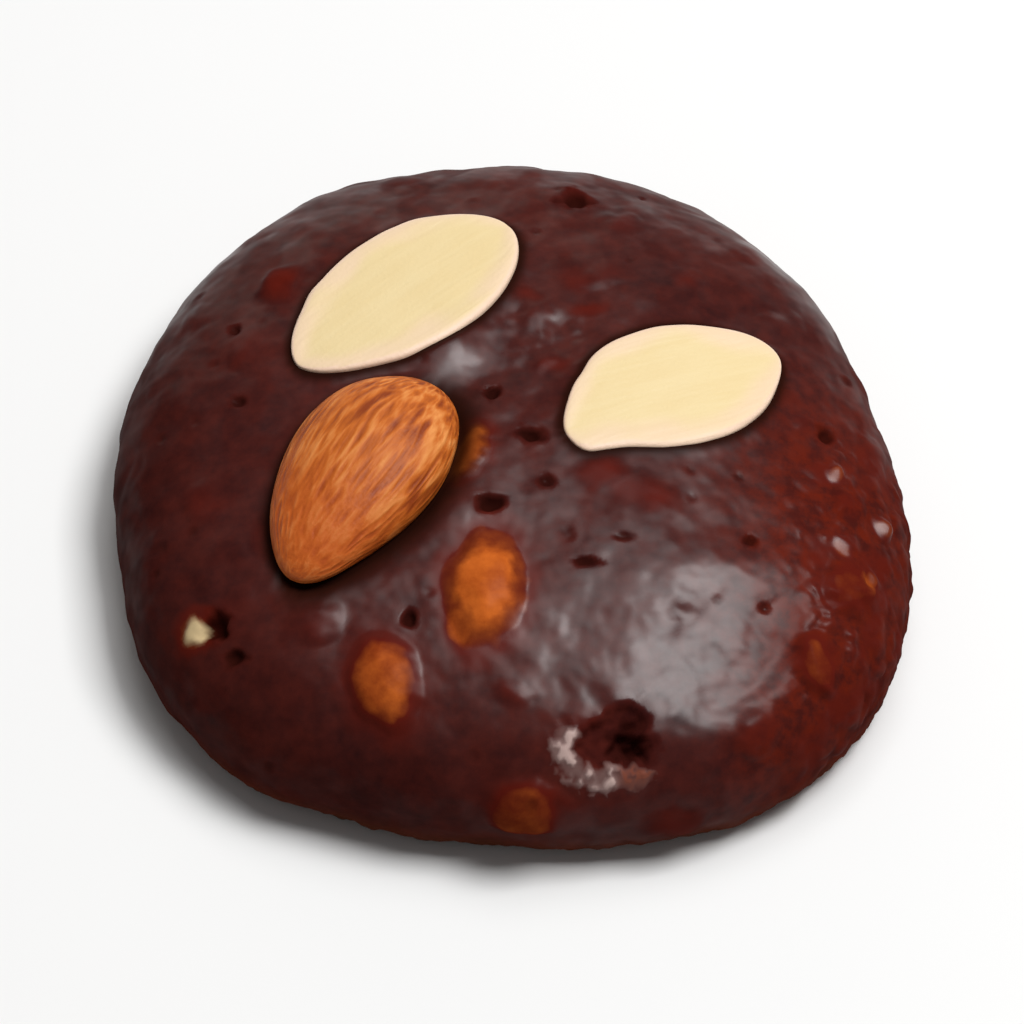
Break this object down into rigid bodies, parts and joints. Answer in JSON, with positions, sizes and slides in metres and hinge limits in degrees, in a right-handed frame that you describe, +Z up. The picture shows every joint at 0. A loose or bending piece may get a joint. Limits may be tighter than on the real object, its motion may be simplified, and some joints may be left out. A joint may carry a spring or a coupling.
{
  "type": "lebkuchen",
  "caption": "Round domed gingerbread cookie with a flat base and a thin dark glaze, almond kernels pressed into its top and chopped nuts swelling under the glaze.",
  "frame": {"origin": "on the flat base, under the middle of the outline", "axes": "+Z up from the base to the crown; -Y to the front, the side with the largest hole, which faced the camera; +X to the camera's right"},
  "size_m": [0.069, 0.0696, 0.0211],
  "materials": {
    "glaze": "satin",
    "almond_flesh": "matte",
    "brown_skin": "satin"
  },
  "bodies": {
    "root": {"cookie": "glaze", "almond_blanched_left": "almond_flesh", "almond_blanched_right": "almond_flesh", "almond_skinned": "brown_skin"}
  },
  "joints": []
}
